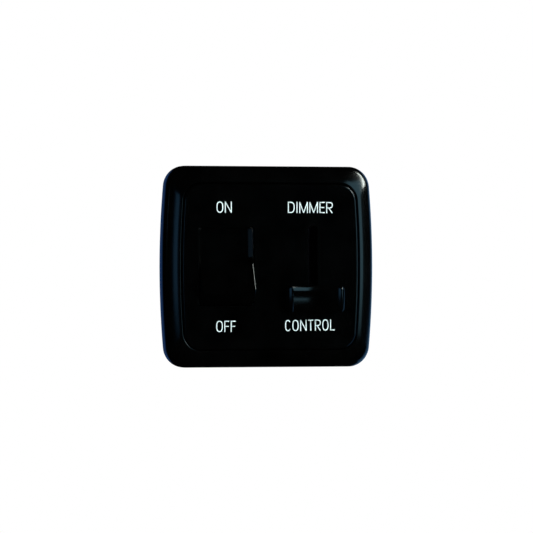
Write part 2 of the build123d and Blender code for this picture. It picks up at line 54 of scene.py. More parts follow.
# Sizes are in millimetres and levels count from the wall towards the room, so a level is minus Y
mm = 0.001
levelSlack = 0.001  # points this close are on one level
overrun = 1.0  # a cutter goes this far past what it cuts
overlap = 0.2  # joined shapes run this far into each other
weldGap = 1e-7  # in metres, points this close become one
sharpEdge = 40  # in degrees, edges that turn more than this are rounded
alongAxis = 0.99  # share of an edge's length on an axis that it runs along
pinSides = 48


# small helpers

def pickNothing():
    if bpy.context.object and bpy.context.object.mode == "EDIT":
        bpy.ops.object.mode_set(mode="OBJECT")
    bpy.ops.object.select_all(action="DESELECT")


def pick(piece):
    pickNothing()
    piece.select_set(True)
    bpy.context.view_layer.objects.active = piece


def choose(piece, kind, test):
    bpy.ops.mesh.select_mode(type=kind)
    bpy.ops.mesh.select_all(action="DESELECT")
    mesh = bmesh.from_edit_mesh(piece.data)
    for item in {"VERT": mesh.verts, "EDGE": mesh.edges, "FACE": mesh.faces}[kind]:
        if test(item):
            item.select_set(True)
    mesh.select_flush_mode()
    bmesh.update_edit_mesh(piece.data)


def levelOf(item):  # one level for all the points of an edge or face, or None
    levels = [-v.co.y / mm for v in item.verts]
    return sum(levels) / len(levels) if max(levels) - min(levels) < levelSlack else None


def addBlock(name, x, z, width, height, low, high):
    pickNothing()
    place = (x * mm, -(low + high) / 2 * mm, z * mm)
    bpy.ops.mesh.primitive_cube_add(
        size=1, location=place, scale=(width * mm, (high - low) * mm, height * mm))
    bpy.ops.object.transform_apply()
    bpy.context.object.name = name
    return bpy.context.object


def addPin(name, x, z, radius, low, high, sides=pinSides):
    pickNothing()
    place = (x * mm, -(low + high) / 2 * mm, z * mm)
    bpy.ops.mesh.primitive_cylinder_add(
        vertices=sides, radius=radius * mm, depth=(high - low) * mm,
        location=place, rotation=(pi / 2, 0, 0))
    bpy.ops.object.transform_apply()
    bpy.context.object.name = name
    return bpy.context.object


def carve(piece, tool, way="DIFFERENCE"):
    pick(piece)
    step = piece.modifiers.new("carve", "BOOLEAN")
    step.operation, step.object, step.solver = way, tool, "EXACT"
    bpy.ops.object.modifier_apply(modifier="carve")
    bpy.data.objects.remove(tool)


def fourCorners(x, z):
    return [(a, b) for a in (-x, x) for b in (-z, z)]


def roundUpright(piece, size, steps):  # the four edges that run from the wall to the room
    pick(piece)
    bpy.ops.object.mode_set(mode="EDIT")
    choose(piece, "EDGE",
           lambda e: abs((e.verts[0].co - e.verts[1].co).normalized().y) > alongAxis)
    bpy.ops.mesh.bevel(offset=size * mm, segments=steps, affect="EDGES")
    bpy.ops.object.mode_set(mode="OBJECT")


def roundLevel(piece, level, size, steps):  # the sharp edges that lie at this level
    pick(piece)
    bpy.ops.object.mode_set(mode="EDIT")

    def atRim(e):
        here = levelOf(e)
        if here is None or abs(here - level) > 2 * levelSlack or len(e.link_faces) != 2:
            return False
        return e.calc_face_angle(0) > radians(sharpEdge)

    choose(piece, "EDGE", atRim)
    bpy.ops.mesh.bevel(offset=size * mm, segments=steps, affect="EDGES", clamp_overlap=True)
    bpy.ops.object.mode_set(mode="OBJECT")


def smooth(piece, angle=32, weighted=True):
    pick(piece)
    bpy.ops.object.shade_smooth_by_angle(angle=radians(angle))
    if weighted:
        step = piece.modifiers.new("normals", "WEIGHTED_NORMAL")
        step.keep_sharp = True
        step.weight = 100
        bpy.ops.object.modifier_apply(modifier="normals")


def settle(piece, body, slotName, finish, *nodes):
    piece.data.materials.clear()
    piece.data.materials.append(finish)
    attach(piece, body)
    if nodes:
        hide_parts(*nodes)


# A ring is drawn as a circle, put on its outline, and pulled on ring by ring
def startRing(name, points):
    pickNothing()
    bpy.ops.mesh.primitive_circle_add(vertices=len(points), radius=mm)
    piece = bpy.context.object
    piece.name = name
    bpy.ops.object.mode_set(mode="EDIT")
    mesh = bmesh.from_edit_mesh(piece.data)
    turn = mesh.verts.layers.int.new("turn")
    for i, v in enumerate(mesh.verts):
        v[turn] = i
        v.co = Vector(points[i]) * mm
    bmesh.update_edit_mesh(piece.data)
    bpy.ops.mesh.select_mode(type="EDGE")
    bpy.ops.mesh.select_all(action="SELECT")
    return piece


def pullRing(piece, points):
    bpy.ops.mesh.extrude_edges_indiv()
    mesh = bmesh.from_edit_mesh(piece.data)
    turn = mesh.verts.layers.int["turn"]
    for v in mesh.verts:
        if v.select:
            v.co = Vector(points[v[turn]]) * mm
    bmesh.update_edit_mesh(piece.data)


def pullRings(name, rings, caps):
    piece = startRing(name, rings[0])
    if caps:
        bpy.ops.mesh.edge_face_add()
        bpy.ops.mesh.select_mode(type="EDGE")
        bpy.ops.mesh.select_all(action="SELECT")
    for ring in rings[1:]:
        pullRing(piece, ring)
    if caps:
        bpy.ops.mesh.edge_face_add()
    bpy.ops.mesh.select_all(action="SELECT")
    bpy.ops.mesh.remove_doubles(threshold=weldGap)
    bpy.ops.mesh.normals_make_consistent(inside=False)
    bpy.ops.object.mode_set(mode="OBJECT")
    piece.data.attributes.remove(piece.data.attributes["turn"])
    return piece


# Straight top and bottom, bowed sides, round corners; the same count of points whatever its size
def bowedRing(width, height, bow, corner, level):
    side, turn, top = 10, 16, 8  # points along half a side, a corner and half the top
    cornerZ = height / 2 - corner
    lean = atan2(cornerZ, sqrt((bow - corner) ** 2 - cornerZ ** 2))
    cornerX = width / 2 - bow + (bow - corner) * cos(lean)
    quarter = []
    for i in range(side):
        a = lean * i / side
        quarter.append((width / 2 - bow + bow * cos(a), bow * sin(a)))
    for i in range(turn):
        a = lean + (pi / 2 - lean) * i / turn
        quarter.append((cornerX + corner * cos(a), cornerZ + corner * sin(a)))
    quarter += [(cornerX * (1 - i / top), height / 2) for i in range(top + 1)]
    back = quarter[::-1]
    ring = quarter + [(-x, z) for x, z in back[1:]] + [(-x, -z) for x, z in quarter[1:]]
    ring += [(x, -z) for x, z in back[1:-1]]
    return [(x, -level, z) for x, z in ring]


# Corners of a cross section, each (across, level, radius), turned into a line with round corners
def roundedLine(corners, steps):
    line = []
    for i, (u, h, radius) in enumerate(corners):
        if radius == 0:
            line.append((u, h))
            continue
        corner = Vector((u, h))
        before = Vector(corners[i - 1][:2]) - corner
        after = Vector(corners[i + 1][:2]) - corner
        half = before.angle(after) / 2
        inward = (before.normalized() + after.normalized()).normalized()
        middle = corner + inward * radius / sin(half)
        start = corner + before.normalized() * radius / tan(half) - middle
        end = corner + after.normalized() * radius / tan(half) - middle
        first, sweep = atan2(start.y, start.x), start.angle(end)
        turning = 1 if start.cross(end) > 0 else -1
        for k in range(steps + 1):
            a = first + turning * sweep * k / steps
            line.append((middle.x + radius * cos(a), middle.y + radius * sin(a)))
    return line


# finishes

def linear(code):  # sRGB hex to linear
    parts = [int(code[i:i + 2], 16) / 255 for i in (1, 3, 5)]
    return [c / 12.92 if c <= 0.04045 else ((c + 0.055) / 1.055) ** 2.4 for c in parts] + [1]


def addNode(tree, kind, settings, links):
    made = tree.nodes.new(kind)
    for key, value in settings.items():
        if key in made.inputs:
            made.inputs[key].default_value = value
        else:
            setattr(made, key, value)
    for key, value in links.items():
        tree.links.new(value, made.inputs[key])
    return made


def perMetre(size):  # a noise cell of this many millimetres, as a texture scale
    return 1 / (size * mm)


def newFinish(name):
    finish = bpy.data.materials.new(name)
    finish.use_nodes = True
    finish.node_tree.nodes.clear()
    return finish, finish.node_tree


driftBand = (0.3, 0.7)  # part of the noise in which the colour changes


# Two close colours and roughnesses that drift over the surface, with a fine grain in relief
# The drift, the grain and its relief are in millimetres
def drifting(name, colours, rough, drift, grain, relief, **fixed):
    finish, tree = newFinish(name)
    place = addNode(tree, "ShaderNodeTexCoord", {}, {})
    cloud = addNode(tree, "ShaderNodeTexNoise", {"Scale": perMetre(drift), "Detail": 3.0},
                    {"Vector": place.outputs["Object"]})
    colour = addNode(tree, "ShaderNodeValToRGB", {}, {"Fac": cloud.outputs["Fac"]})
    for stop, position, code in zip(colour.color_ramp.elements, driftBand, colours):
        stop.position = position
        stop.color = linear(code)
    gloss = addNode(tree, "ShaderNodeMapRange", {"To Min": rough[0], "To Max": rough[1]},
                    {"Value": cloud.outputs["Fac"]})
    fine = addNode(tree, "ShaderNodeTexNoise", {"Scale": perMetre(grain), "Detail": 2.0},
                   {"Vector": place.outputs["Object"]})
    bump = addNode(tree, "ShaderNodeBump", {"Strength": 1.0, "Distance": relief * mm},
                   {"Height": fine.outputs["Fac"]})
    shader = addNode(tree, "ShaderNodeBsdfPrincipled", fixed, {
        "Base Color": colour.outputs["Color"], "Roughness": gloss.outputs["Result"],
        "Normal": bump.outputs["Normal"]})
    addNode(tree, "ShaderNodeOutputMaterial", {}, {"Surface": shader.outputs["BSDF"]})
    return finish


# Moulded ABS from a polished tool: near black, bright, with the faint waviness of a moulded skin
glossAbs = drifting("glossBlackAbs", ("#000000", "#020202"), (0.13, 0.17), 9, 1.6, 0.0006, IOR=1.53)
# The same ABS from a tool polished a little less: its reflections have softer edges
softAbs = drifting("softGlossAbs", ("#000000", "#020202"), (0.15, 0.18), 9, 1.6, 0.0006, IOR=1.53)
# Moulded ABS from a spark-eroded tool: black, dull, with a fine even grain drawn coarse to show
grainAbs = drifting("grainBlackAbs", ("#1B1B1D", "#202022"), (0.46, 0.52), 4, 0.35, 0.02, IOR=1.53)
# Pad printed ink: flat cool white, thin enough to let a little of the black dull it in places
padInk = drifting("padPrintInk", ("#EAF4F4", "#F6FDFD"), (0.5, 0.6), 0.9, 0.2, 0.002)

finishes = {
    "bezel_abs": softAbs,
    "housing_abs": glossAbs,
    "control_abs": glossAbs,
    "cover_abs": grainAbs,
    # Moulded nylon: milky white with a waxy half gloss
    "switch_nylon": drifting(
        "mouldedNylon", ("#DEDCD2", "#EBE9E0"), (0.42, 0.52), 5, 0.5, 0.004, IOR=1.53),
    # Moulded acetal: brighter white and slicker than nylon
    "carriage_acetal": drifting(
        "mouldedAcetal", ("#EBEBE8", "#F4F4F1"), (0.28, 0.36), 4, 0.6, 0.002, IOR=1.48),
    # Zinc plated steel: cool grey with a faint cloudy bloom and fine tool marks
    "screw_steel": drifting(
        "zincPlatedSteel", ("#9DA3A8", "#B9BEC2"), (0.26, 0.42), 1.2, 0.18, 0.004, Metallic=1.0),
    # Drawn spring wire: bright grey with draw marks
    "spring_steel": drifting(
        "springWire", ("#8C9094", "#A6AAAD"), (0.22, 0.34), 0.8, 0.12, 0.003, Metallic=1.0),
    # Tin plated steel sheet: soft silvery grey, slightly mottled from rolling
    "pot_steel": drifting(
        "tinPlatedSheet", ("#A9ABAB", "#C0C2C1"), (0.3, 0.42), 3, 0.25, 0.004, Metallic=1.0),
    # Rolled brass strip: warm yellow that has dulled in patches
    "contact_brass": drifting(
        "rolledBrass", ("#A9853F", "#C6A258"), (0.28, 0.42), 2.5, 0.2, 0.003, Metallic=1.0),
    # Silver alloy contact: pale, a little tarnished
    "contact_silver": drifting(
        "contactSilver", ("#C4C2BC", "#DAD9D5"), (0.2, 0.32), 0.7, 0.15, 0.002, Metallic=1.0),
    # Tin plated brass blades: bright tin with faint drawing streaks
    "terminal_tin": drifting(
        "tinPlatedBrass", ("#B0B1AE", "#C9CAC6"), (0.24, 0.38), 1.8, 0.2, 0.003, Metallic=1.0),
    # Paper phenolic laminate: brown, with fibres that show through
    "element_phenolic": drifting(
        "paperPhenolic", ("#4A2C17", "#66401F"), (0.4, 0.55), 0.8, 0.3, 0.006),
    # Moulded epoxy: charcoal with a fine sandy mould skin
    "moulded_epoxy": drifting("mouldedEpoxy", ("#141415", "#1E1E20"), (0.5, 0.62), 2, 0.2, 0.008),
    # Baked enamel on the resistors: beige, glossy, a little uneven from dipping
    "resistor_enamel": drifting(
        "dippedEnamel", ("#B49A70", "#C9B187"), (0.25, 0.36), 1.5, 0.5, 0.006),
    # Film capacitor case: red moulded polyester, half gloss
    "film_case": drifting("mouldedPolyester", ("#7E1B18", "#95241F"), (0.35, 0.45), 2, 0.3, 0.004),
    # Shrunk sleeve: dark blue vinyl, smooth with slight shrink ripples
    "capacitor_sleeve": drifting(
        "shrunkVinyl", ("#14203F", "#1C2B52"), (0.25, 0.36), 2.2, 0.9, 0.01),
    # Mill finish aluminium: pale grey with a rolled grain
    "sink_aluminium": drifting(
        "millAluminium", ("#A8ABAD", "#BFC2C4"), (0.34, 0.48), 2.5, 0.15, 0.004, Metallic=1.0),
}


# Woven glass laminate under green resist: the weave is a faint square relief, drawn coarse to show
glassWeave = {
    "wave": 0.5, "waver": 0.3, "colours": ("#0E3A22", "#17502F"), "rough": (0.24, 0.36),
    "relief": 0.01, "IOR": 1.55,
}
waveRadians = 20  # a wave texture turns through this in a unit of its scale


def glassBoard(w):
    finish, tree = newFinish("glassEpoxyBoard")
    place = addNode(tree, "ShaderNodeTexCoord", {}, {})
    scale = perMetre(w["wave"]) / waveRadians
    threads = [addNode(tree, "ShaderNodeTexWave",
                       {"Scale": scale, "bands_direction": way, "Distortion": w["waver"]},
                       {"Vector": place.outputs["Object"]}) for way in ("X", "Z")]
    weave = addNode(tree, "ShaderNodeMath", {"operation": "MULTIPLY"},
                    {i: thread.outputs["Fac"] for i, thread in enumerate(threads)})
    colour = addNode(tree, "ShaderNodeValToRGB", {}, {"Fac": weave.outputs["Value"]})
    for stop, code in zip(colour.color_ramp.elements, w["colours"]):
        stop.color = linear(code)
    gloss = addNode(tree, "ShaderNodeMapRange", {"To Min": w["rough"][0], "To Max": w["rough"][1]},
                    {"Value": weave.outputs["Value"]})
    bump = addNode(tree, "ShaderNodeBump", {"Distance": w["relief"] * mm},
                   {"Height": weave.outputs["Value"]})
    shader = addNode(tree, "ShaderNodeBsdfPrincipled", {"IOR": w["IOR"]}, {
        "Base Color": colour.outputs["Color"], "Roughness": gloss.outputs["Result"],
        "Normal": bump.outputs["Normal"]})
    addNode(tree, "ShaderNodeOutputMaterial", {}, {"Surface": shader.outputs["BSDF"]})
    return finish


finishes["board_glass_epoxy"] = glassBoard(glassWeave)

print("finishes made:", len(finishes))

# trim bezel: convex border that clips over the housing

bezel = {
    "width": 79.4, "height": 73.0, "bow": 340.0, "corner": 7.8, "wall": 1.8,
    "shoulder": 4.6, "shoulderRound": 3.2, "crown": 6.4, "crownRound": 18.0,
    "ease": 4.7, "easeLevel": 7.05, "easeRound": 6.0,
    "border": 6.15, "lip": 7.5, "lipRound": 0.3, "lipThickness": 1.9, "lipCorner": 6.9,
    "roundSteps": 10, "smoothAngle": 40,
}


def makeBezel(b):
    top = roundedLine([
        (0, 0, 0), (0, b["shoulder"], b["shoulderRound"]),
        (b["border"] / 2, b["crown"], b["crownRound"]),
        (b["ease"], b["easeLevel"], b["easeRound"]), (b["border"], b["lip"], b["lipRound"]),
        (b["border"], b["lip"] - b["lipThickness"], 0)], b["roundSteps"])
    thinning = (b["corner"] - b["lipCorner"]) / b["border"]
    section = [(u, h, b["corner"] - thinning * u) for u, h in top]
    innerCorner = b["corner"] - b["wall"]
    innerLevels = (b["shoulder"] - b["wall"] / 2, 0)
    section += [(b["wall"], h, innerCorner) for h in innerLevels] + section[:1]
    rings = [bowedRing(b["width"] - 2 * u, b["height"] - 2 * u, b["bow"] - u, c, h)
             for u, h, c in section]
    piece = pullRings("bezelShell", rings, False)
    smooth(piece, b["smoothAngle"], weighted=False)
    return piece


bezelShell = makeBezel(bezel)
settle(bezelShell, "housing", "bezel_abs", softAbs, "trim_bezel")
print("bezel:", len(bezelShell.data.polygons), "faces")

# face plate: flat front with a skirt and a wall flange, a rocker window and a slot for the stem

facePlate = {
    "width": 66.3, "height": 59.9, "bow": 333.45, "corner": 6.5, "level": 7.8, "thickness": 2.0,
    "edgeRound": 0.7, "edgeSteps": 6, "edgeReach": 1.0, "wall": 1.8,
    "flangeInset": 2.1, "flangeThickness": 2.4,
    "wallScrewX": 33.0, "wallScrewZ": 30.7, "wallHole": 1.6,
    "windowX": -16.5, "windowWidth": 20.9, "windowHeight": 28.6,
    "windowCorner": 0.8, "windowSteps": 5,
    "slotX": 15.95, "slotZ": -0.6, "slotWidth": 3.4, "slotHeight": 31.4,
    "slotFlat": 0.001, "slotSteps": 8, "rimRound": 0.12, "rimSteps": 2,
    "seatWidth": 62.7, "seatHeight": 52.8, "roomWidth": 58.4, "roomHeight": 49.2, "seatFoot": 0.8,
    "bossX": 25.8, "bossZ": 21.2, "bossRadius": 3.0, "bossFoot": -13.53,
    "bossHole": 1.3, "bossDepth": 9.0,
    "notchLength": 9.6, "notchReach": 2.8, "notchTop": 1.35, "notchSpread": 20.0,
}


def makeFacePlate(p, b):
    def ring(grow, level):
        return bowedRing(p["width"] + 2 * grow, p["height"] + 2 * grow,
                         p["bow"] + grow, p["corner"] + grow, level)

    def flange(level):
        i = p["flangeInset"]
        return bowedRing(b["width"] - 2 * i, b["height"] - 2 * i,
                         b["bow"] - i, b["corner"] - i, level)

    back, front = p["level"] - p["thickness"], p["level"]
    edge = [(0, 0, 0), (0, front, p["edgeRound"]), (-p["edgeReach"], front, 0)]
    rings = [ring(-p["wall"], back), ring(-p["wall"], 0), flange(0), flange(p["flangeThickness"])]
    rings.append(ring(0, p["flangeThickness"]))
    rings += [ring(u, h) for u, h in roundedLine(edge, p["edgeSteps"])[1:]]
    piece = pullRings("frontPlate", rings, True)
    window = addBlock("window", p["windowX"], 0, p["windowWidth"], p["windowHeight"],
                      back - overrun, front + overrun)
    roundUpright(window, p["windowCorner"], p["windowSteps"])
    carve(piece, window)
    slot = addBlock("slot", p["slotX"], p["slotZ"], p["slotWidth"], p["slotHeight"],
                    back - overrun, front + overrun)
    roundUpright(slot, p["slotWidth"] / 2 - p["slotFlat"], p["slotSteps"])
    carve(piece, slot)
    roundLevel(piece, front, p["rimRound"], p["rimSteps"])
    # inner wall that the rear case sits on
    seat = addBlock("seat", 0, 0, p["seatWidth"], p["seatHeight"], p["seatFoot"], back + overlap)
    carve(seat, addBlock("room", 0, 0, p["roomWidth"], p["roomHeight"], -overrun, back + overrun))
    carve(piece, seat, "UNION")
    for x, z in fourCorners(p["bossX"], p["bossZ"]):
        foot = p["bossFoot"]
        boss = addPin("boss", x, z, p["bossRadius"], foot, back + overlap)
        carve(boss, addPin("bore", x, z, p["bossHole"], foot - overrun, foot + p["bossDepth"]))
        carve(piece, boss, "UNION")
    for x, z in fourCorners(p["wallScrewX"], p["wallScrewZ"]):
        high = p["flangeThickness"] + overrun
        carve(piece, addPin("wallHole", x, z, p["wallHole"], -overrun, high))
    # notches for the bezel's catches
    long, deep, top = p["notchLength"], p["notchReach"], p["notchTop"]
    for side in (-1, 1):
        z = side * (b["height"] / 2 - deep / 2)
        for x in (-p["notchSpread"], p["notchSpread"]):
            carve(piece, addBlock("notch", x, z, long, deep, -overrun, top))
        x = side * (b["width"] / 2 - deep / 2)
        carve(piece, addBlock("notch", x, 0, deep, long, -overrun, top))
    smooth(piece)
    return piece


frontPlate = makeFacePlate(facePlate, bezel)
settle(frontPlate, "housing", "housing_abs", glossAbs, "front_housing")
print("face plate:", len(frontPlate.data.polygons), "faces")

# rocker: shallow V in front, ends that swing about the pivot, a finger dish between low side rims

rocker = {
    "x": -16.5, "pivot": -1.4, "tilt": 15.0, "width": 20.2, "dishAngle": 10.0, "valley": 8.5,
    "radius": 15.7, "skirt": 2.5, "wall": 1.6, "edgeRound": 0.8, "rimSlope": 1.45, "rimDepth": 1.13,
    "footRound": 0.55, "footRim": 0.57, "footSlope": 0.25, "valleyZ": 1.5, "valleyStep": 0.05,
    "footShares": (0, 0.02, 0.06, 0.12, 0.2, 0.32, 0.46, 0.64, 0.84, 1), "edgeSteps": 8,
    "sidePoints": 4, "roomDrop": 0.5, "lobe": 3.0, "webRise": 0.4, "trunnion": 1.5,
    "trunnionReach": 1.5, "stem": 3.2, "stemEnd": -3.6, "bore": 1.75, "boreEnd": 4.18,
    "halfSlack": 0.01, "smoothAngle": 15.5,
}


def rockerSection(r, x, valley, radius, skirt):
    slope = tan(radians(r["dishAngle"]))
    reach = (sqrt(radius ** 2 * (1 + slope ** 2) - valley ** 2) - valley * slope) / (1 + slope ** 2)
    tip = valley + reach * slope
    levels = [skirt + (tip - skirt) * k / r["sidePoints"] for k in range(r["sidePoints"])]
    lower = [(-sqrt(radius ** 2 - h ** 2), h, 0) for h in levels]
    upper = [(-z, h, 0) for z, h, _ in reversed(lower)]
    step, middle = r["valleyStep"], r["valleyZ"]
    below = (middle - step, valley + step * (tip - valley) / (reach + middle), 0)
    tips = [(-reach, tip, r["edgeRound"]), below, (middle, valley, 0), (reach, tip, r["edgeRound"])]
    return [(x, -h, z) for z, h in roundedLine(lower + tips + upper, r["edgeSteps"])]


def ease(t):  # slow at both ends
    t = min(max(t, 0), 1)
    return t * t * (3 - 2 * t)


def sag(s, radius):  # how far a round edge falls back at this distance from the side
    return radius - sqrt(radius ** 2 - (radius - s) ** 2) if s < radius else 0


def mirrored(half, stations):  # distances from the side, as places across the whole width
    left = [(-half + s, s) for s in stations]
    return left + [(-x, s) for x, s in left[::-1]]


def addAxle(name, start, end, radius):
    pickNothing()
    bpy.ops.mesh.primitive_cylinder_add(
        vertices=pinSides, radius=radius * mm, depth=(end - start) * mm,
        location=((start + end) / 2 * mm, 0, 0), rotation=(0, pi / 2, 0))
    bpy.ops.object.transform_apply()
    bpy.context.object.name = name
    return bpy.context.object


def makeRocker(r):
    half = r["width"] / 2
    valley, radius, skirt, wall = r["valley"], r["radius"], r["skirt"], r["wall"]
    stations = [r["footRound"] * k for k in r["footShares"]]
    stations += [r["footRim"], r["footRim"] + r["footSlope"], r["rimSlope"]]
    # rim, slope and rounding: pressed half with sloped rims, raised half with round sides
    styles = ((0, r["rimSlope"], 0), (r["footRim"], r["footSlope"], r["footRound"]))
    raised = r["valleyZ"] - r["halfSlack"]
    rings = []
    for x, s in mirrored(half, stations):
        halves = []
        for rim, slope, rounding in styles:
            dish, back = r["rimDepth"] * min(max(s - rim, 0) / slope, 1), sag(s, rounding)
            halves.append(rockerSection(r, x, valley - dish - back, radius - back, skirt))
        rings.append([low if low[2] < raised else high for high, low in zip(*halves)])
    piece = pullRings("rockerCap", rings, True)
    inside = [rockerSection(r, x, valley - wall, radius - wall, skirt - r["roomDrop"])
              for x in (-half + wall, half - wall)]
    carve(piece, pullRings("rockerRoom", inside, True))
    for side in (-1, 1):
        near, far = sorted((side * half, side * (half - wall)))
        lobe = addAxle("lobe", near, far, r["lobe"])
        web = addBlock("web", (near + far) / 2, 0, far - near, 2 * r["lobe"],
                       0, skirt + r["webRise"])
        carve(lobe, web, "UNION")
        carve(piece, lobe, "UNION")
        near, far = sorted((side * (half - overlap), side * (half + r["trunnionReach"])))
        carve(piece, addAxle("trunnion", near, far, r["trunnion"]), "UNION")
    stem = addPin("stem", 0, 0, r["stem"], r["stemEnd"], valley - wall / 2)
    carve(piece, stem, "UNION")
    carve(piece, addPin("bore", 0, 0, r["bore"], r["stemEnd"] - overrun, r["boreEnd"]))
    pick(piece)
    piece.rotation_euler = (-radians(r["tilt"]), 0, 0)
    piece.location = (r["x"] * mm, -r["pivot"] * mm, 0)
    bpy.ops.object.transform_apply()
    smooth(piece, r["smoothAngle"])
    return piece


rockerCap = makeRocker(rocker)
settle(rockerCap, "rocker", "control_abs", glossAbs, "rocker_cap")
print("rocker:", len(rockerCap.data.polygons), "faces")

# dimmer knob: block with round corners and sloped ends, hollowed across, with a ridge near its top

knob = {
    "x": 15.95, "z": -11.6, "width": 21.3, "length": 9.5, "back": 8.1, "level": 12.7, "corner": 1.5,
    "topRound": 0.7, "cornerRound": 1.4, "bottomRound": 0.3, "endRound": 0.4,
    # slopes of the face, each (place, rise): left to right, down its middle and down its end rims
    "across": [(0, 0.45), (1.0, 0.45), (2.2, -0.295), (11.3, 0), (18.6, 0.3), (19.3, 0.46),
               (19.6, 0.46), (20.4, -0.45), (21.3, -0.45)],
    "down": [(0, 0.36), (1.71, 0), (2.6, -0.19), (4.1, -0.055), (4.85, -0.012), (6.3, -0.055),
             (9.5, -0.3)],
    "rims": [(0, 0), (2.6, 0), (9.5, -0.13)],
    "waveStart": 1.6, "waveBlend": 0.4, "fadeStart": 12.0, "fadeEnd": 18.3, "roundBlend": 2.0,
    # where the mesh has its rows: in from each end, then runs of (first place, spacing, count)
    "endRows": [0, 0.03, 0.09, 0.18, 0.3, 0.45, 0.62, 0.8],
    "runs": [(0.9, 0.1, 16), (2.7, 0.3, 49), (17.4, 0.1, 31)],
    # and its lines: in from the top edge, in from the bottom edge, and the spaces between them
    "topLines": [0, 0.02, 0.06, 0.13, 0.23, 0.36, 0.52, 0.7],
    "bottomLines": [0.3, 0.2, 0.12, 0.06, 0.02, 0], "spaces": 36,
    "stemWidth": 2.8, "stemLength": 6.0, "stemEnd": -1.5,
    "socketWidth": 1.3, "socketLength": 3.7, "socketTop": 3.12, "smoothAngle": 40,
}
peakSteps = 400


def heightAt(slopes, place):  # rise of the face from the first place to this one
    level = 0
    for (d, s), (dNext, sNext) in zip(slopes, slopes[1:]):
        share = min(max(place - d, 0), dNext - d)
        level += share * (s + (sNext - s) * share / (dNext - d) / 2)
    return level


def peak(slopes):  # highest rise along the line
    last = slopes[-1][0]
    return max(heightAt(slopes, last * i / peakSteps) for i in range(peakSteps + 1))


def makeKnob(k):
    places = list(k["endRows"])
    for first, spacing, count in k["runs"]:
        places += [first + spacing * i for i in range(count)]
    places += [k["width"] - s for s in k["endRows"][::-1]]
    top, bottom = k["topLines"][-1], k["length"] - k["bottomLines"][0]
    downs = k["topLines"] + [top + (bottom - top) * i / k["spaces"] for i in range(1, k["spaces"])]
    downs += [k["length"] - d for d in k["bottomLines"]]
    acrossPeak, downPeak = peak(k["across"]), peak(k["down"])
    rings = []
    for place in places:
        s = min(place, k["width"] - place)
        reach = k["length"] / 2 - sag(s, k["corner"])
        share = ease((place - k["waveStart"]) / k["waveBlend"])
        share *= ease((k["fadeEnd"] - place) / (k["fadeEnd"] - k["fadeStart"]))
        blend = ease((place - k["fadeEnd"]) / k["roundBlend"])
        topRound = k["topRound"] + (k["cornerRound"] - k["topRound"]) * blend
        ends = acrossPeak - heightAt(k["across"], place) + sag(s, k["endRound"])
        line = [(reach, k["back"])]
        for down in downs:
            edge = sag(down, topRound) + sag(k["length"] - down, k["bottomRound"])
            middle = downPeak - heightAt(k["down"], down)
            depth = edge + ends + share * middle - (1 - share) * heightAt(k["rims"], down)
            line.append((reach * (1 - 2 * down / k["length"]), k["level"] - depth))
        line.append((-reach, k["back"]))
        x = k["x"] - k["width"] / 2 + place
        rings.append([(x, -h, k["z"] + z) for z, h in line])
    piece = pullRings("dimmerKnob", rings, True)
    stem = addBlock("stem", k["x"], k["z"], k["stemWidth"], k["stemLength"],
                    k["stemEnd"], k["back"] + overlap)
    carve(stem, addBlock("socket", k["x"], k["z"], k["socketWidth"], k["socketLength"],
                         k["stemEnd"] - overrun, k["socketTop"]))
    carve(piece, stem, "UNION")
    smooth(piece, k["smoothAngle"])
    return piece


dimmerKnob = makeKnob(knob)
settle(dimmerKnob, "slider", "control_abs", glossAbs, "slider_knob")
print("knob:", len(dimmerKnob.data.polygons), "faces")

# printed legends: condensed capitals in thin white ink, drawn as strokes of one width

legend = {
    "ink": 0.03, "sink": 0.004, "layerStep": 0.002, "stroke": 0.36, "inner": 0.85,
    "height": 4.05, "gap": 0.58, "level": 7.8,
    "words": [  # text, middle across, middle up, whole width, turn in degrees
        ("ON", -17.6, 21.5, 5.7, 0), ("OFF", -16.95, -21.55, 7.25, 0),
        ("DIMMER", 14.8, 21.5, 17.0, 0), ("CONTROL", 14.62, -21.25, 18.7, 0.7)],
    # shares of the height
    "widths": {"O": 0.63, "N": 0.65, "F": 0.46, "D": 0.62, "I": 0.15, "M": 0.78, "E": 0.48,
               "R": 0.6, "C": 0.58, "T": 0.53, "L": 0.46},
    "bar": 0.5, "waist": 0.46,
    # shares of a letter's width, and of the stroke for the tuck of a slant's ends
    "barReach": 0.92, "bend": 0.38, "tuck": 0.2,
    # round letters: points, squareness across and up, and half the mouth of a C in degrees
    "ovalSteps": 32, "squareX": 0.82, "squareZ": 0.74, "mouth": 38,
}


def oval(g, left, right, low, high, first, last):  # tall round form with flat sides
    line = []
    for k in range(g["ovalSteps"] + 1):
        a = radians(first + (last - first) * k / g["ovalSteps"])
        x = abs(cos(a)) ** g["squareX"] * (1 if cos(a) > 0 else -1)
        z = abs(sin(a)) ** g["squareZ"] * (1 if sin(a) > 0 else -1)
        line.append(((left + right) / 2 + (right - left) / 2 * x,
                     (low + high) / 2 + (high - low) / 2 * z))
    return line


